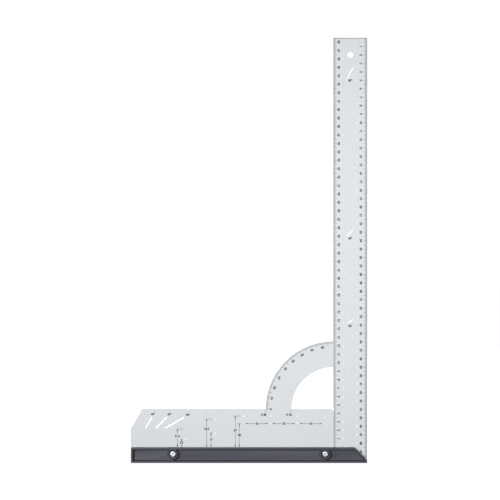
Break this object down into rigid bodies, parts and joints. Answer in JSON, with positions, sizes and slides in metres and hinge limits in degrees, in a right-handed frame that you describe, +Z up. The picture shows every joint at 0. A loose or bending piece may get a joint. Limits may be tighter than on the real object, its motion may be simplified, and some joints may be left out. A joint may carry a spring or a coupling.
{
  "type": "carpenter's marking square with protractor arc",
  "caption": "L-shaped marking square: thin aluminium blade with centimetre scales, pencil holes, mitre slots and a quarter protractor, screwed between the two halves of a plastic stop rail",
  "frame": {"origin": "On the surface that the stop rail stands on, under the middle of the square's width, in the mid-plane of the blade", "axes": "+Z up along the ruler leg, +X towards the ruler leg, -Y towards the user who reads the scales"},
  "size_m": [0.28, 0.02, 0.503],
  "materials": {
    "anodised_aluminium": "fine satin anodised sheet with black printed scales",
    "grey_plastic": "dark grey moulded plastic with a fine matt grain",
    "zinc_screw": "bright zinc-plated screw head",
    "zinc_washer": "zinc-plated spring washer",
    "zinc_nut": "zinc-plated hexagon nut"
  },
  "bodies": {
    "square": {"blade": "anodised_aluminium", "stop_rail_front": "grey_plastic", "stop_rail_rear": "grey_plastic", "nut_left": "zinc_nut", "nut_right": "zinc_nut"},
    "washer_body_left": {"washer_left": "zinc_washer"},
    "screw_body_left": {"screw_left": "zinc_screw"},
    "washer_body_right": {"washer_right": "zinc_washer"},
    "screw_body_right": {"screw_right": "zinc_screw"}
  },
  "joints": [
    {"name": "screw_travel_left", "type": "slide", "parent": "square", "child": "washer_body_left", "axis": [0, -1, 0], "range_m": [0, 0.00315]},
    {"name": "screw_turn_left", "type": "hinge", "parent": "washer_body_left", "child": "screw_body_left", "pos_m": [-0.09, 0, 0.0105], "axis": [0, -1, 0], "range_deg": [0, 1620]},
    {"name": "screw_travel_right", "type": "slide", "parent": "square", "child": "washer_body_right", "axis": [0, -1, 0], "range_m": [0, 0.00315]},
    {"name": "screw_turn_right", "type": "hinge", "parent": "washer_body_right", "child": "screw_body_right", "pos_m": [0.09, 0, 0.0105], "axis": [0, -1, 0], "range_deg": [0, 1620]}
  ],
  "couplings": [
    {"joint": "screw_turn_left", "follows": "screw_travel_left", "rad_per_m": 8976},
    {"joint": "screw_turn_right", "follows": "screw_travel_right", "rad_per_m": 8976}
  ]
}
